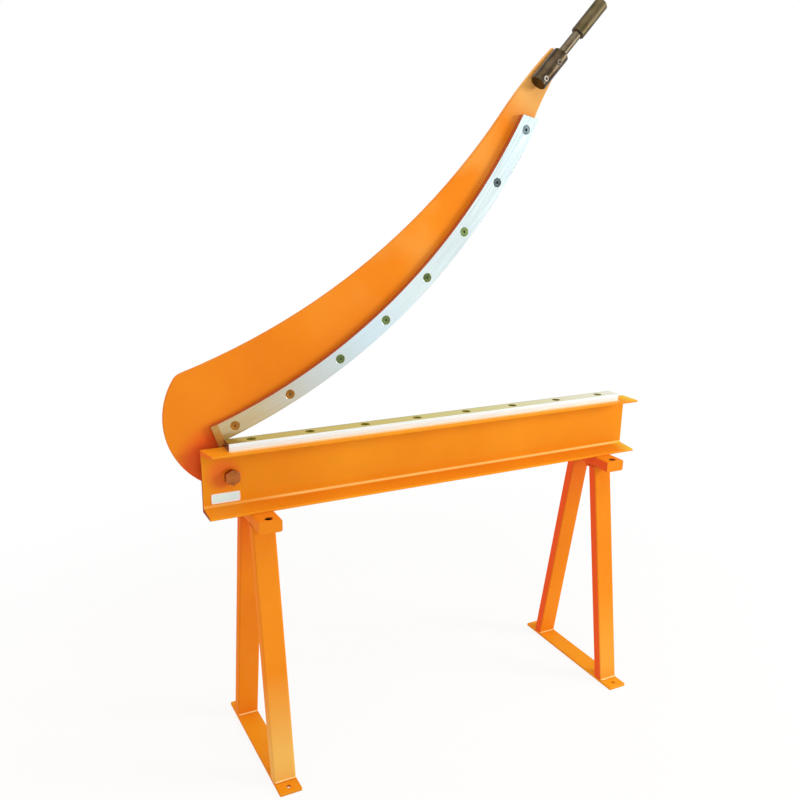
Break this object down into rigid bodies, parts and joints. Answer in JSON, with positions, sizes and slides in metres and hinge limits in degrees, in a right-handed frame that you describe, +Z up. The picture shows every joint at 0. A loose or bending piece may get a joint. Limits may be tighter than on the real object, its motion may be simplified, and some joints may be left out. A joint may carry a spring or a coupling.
{
  "type": "guillotine shear",
  "caption": "Floor-standing guillotine shear: a long arm with a curved blade swings down past a straight blade on a channel bed carried by A-shaped stands.",
  "frame": {"origin": "on the floor, amid the anchor holes of the feet", "axes": "+X along the straight blade away from the pivot, +Y to the back, where the arm is, +Z up"},
  "size_m": [1.1614, 0.366, 1.6365],
  "materials": {
    "orange_enamel": "glossy enamel",
    "ground_steel": "surface ground",
    "black_steel": "black oxide, lightly oiled",
    "zinc_steel": "zinc plated",
    "bronze": "turned bronze",
    "grip_black": "satin"
  },
  "bodies": {
    "bed": {"bed_channel": "orange_enamel", "lower_blade": "ground_steel", "lower_blade_screws": "black_steel", "lower_blade_nuts": "black_steel", "left_top_bar": "orange_enamel", "left_bar_end_plates": "orange_enamel", "left_front_leg": "orange_enamel", "left_rear_leg": "orange_enamel", "left_foot_bar": "orange_enamel", "left_bed_bolts": "zinc_steel", "left_bed_washers": "zinc_steel", "right_top_bar": "orange_enamel", "right_bar_end_plates": "orange_enamel", "right_front_leg": "orange_enamel", "right_rear_leg": "orange_enamel", "right_foot_bar": "orange_enamel", "right_bed_bolts": "zinc_steel", "right_bed_washers": "zinc_steel", "pivot_bolt": "black_steel", "pivot_front_washer": "black_steel", "pivot_spacer": "black_steel", "pivot_rear_washer": "black_steel", "pivot_nut": "black_steel", "pivot_lock_nut": "black_steel"},
    "arm": {"arm_plate": "orange_enamel", "arm_bush": "bronze", "upper_blade": "ground_steel", "upper_blade_screws": "black_steel", "upper_blade_nuts": "black_steel", "handle_socket": "black_steel", "socket_screw": "black_steel", "rod_lock_screw": "black_steel", "socket_washers": "black_steel", "socket_nuts": "black_steel", "handle_rod": "black_steel", "handle_grip": "grip_black"}
  },
  "joints": [
    {"name": "arm_hinge", "type": "hinge", "parent": "bed", "child": "arm", "pos_m": [-0.4945, 0, 0.6645], "axis": [0, 1, 0], "range_deg": [-20, 41]}
  ]
}
